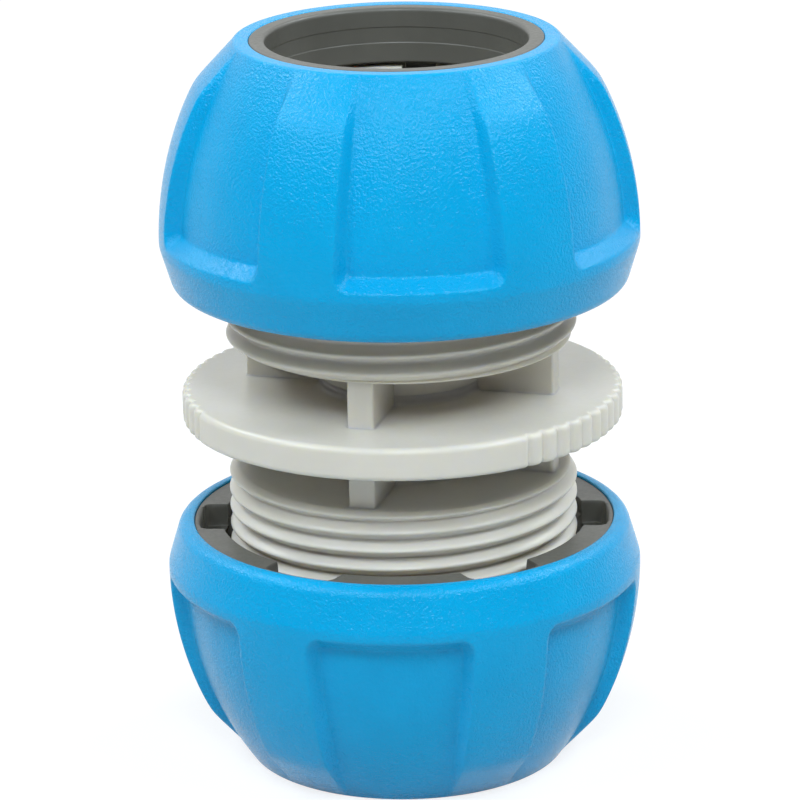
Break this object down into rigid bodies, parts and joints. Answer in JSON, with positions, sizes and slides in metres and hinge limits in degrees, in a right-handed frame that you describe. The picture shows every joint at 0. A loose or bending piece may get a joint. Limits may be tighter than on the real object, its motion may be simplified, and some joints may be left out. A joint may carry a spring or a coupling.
{
  "type": "hose mender",
  "caption": "Garden hose mender: a barbed double tail with a gripping disc, and a screw nut with a clamp ring at each end.",
  "frame": {"origin": "centre of the lower nut's mouth, where the mender stands", "axes": "+Z along the bore towards the upper nut; -Y is the front"},
  "size_m": [0.036, 0.036, 0.0557],
  "materials": {
    "white_body": "moulded satin off-white",
    "grey_liner": "moulded satin warm grey",
    "blue_grip": "soft-touch, fine grain, sky blue",
    "white_clamp": "moulded satin off-white"
  },
  "bodies": {
    "body": {"mender_body": "white_body"},
    "upper_clamp": {"upper_clamp_ring": "white_clamp"},
    "upper_nut": {"upper_nut_liner": "grey_liner", "upper_nut_grip": "blue_grip"},
    "lower_clamp": {"lower_clamp_ring": "white_clamp"},
    "lower_nut": {"lower_nut_liner": "grey_liner", "lower_nut_grip": "blue_grip"}
  },
  "joints": [
    {"name": "upper_clamp_slide", "type": "slide", "parent": "body", "child": "upper_clamp", "axis": [0, 0, 1], "range_m": [-0.0063, 0.0056]},
    {"name": "upper_nut_turn", "type": "hinge", "parent": "upper_clamp", "child": "upper_nut", "pos_m": [0, 0, 0.046], "axis": [0, 0, 1], "range_deg": [-1620, 1440]},
    {"name": "lower_clamp_slide", "type": "slide", "parent": "body", "child": "lower_clamp", "axis": [0, 0, 1], "range_m": [-0.0056, 0.0063]},
    {"name": "lower_nut_turn", "type": "hinge", "parent": "lower_clamp", "child": "lower_nut", "pos_m": [0, 0, 0.009], "axis": [0, 0, 1], "range_deg": [-1440, 1620]}
  ],
  "couplings": [
    {"joint": "upper_clamp_slide", "follows": "upper_nut_turn", "m_per_rad": 0.00022282},
    {"joint": "lower_clamp_slide", "follows": "lower_nut_turn", "m_per_rad": 0.00022282}
  ]
}
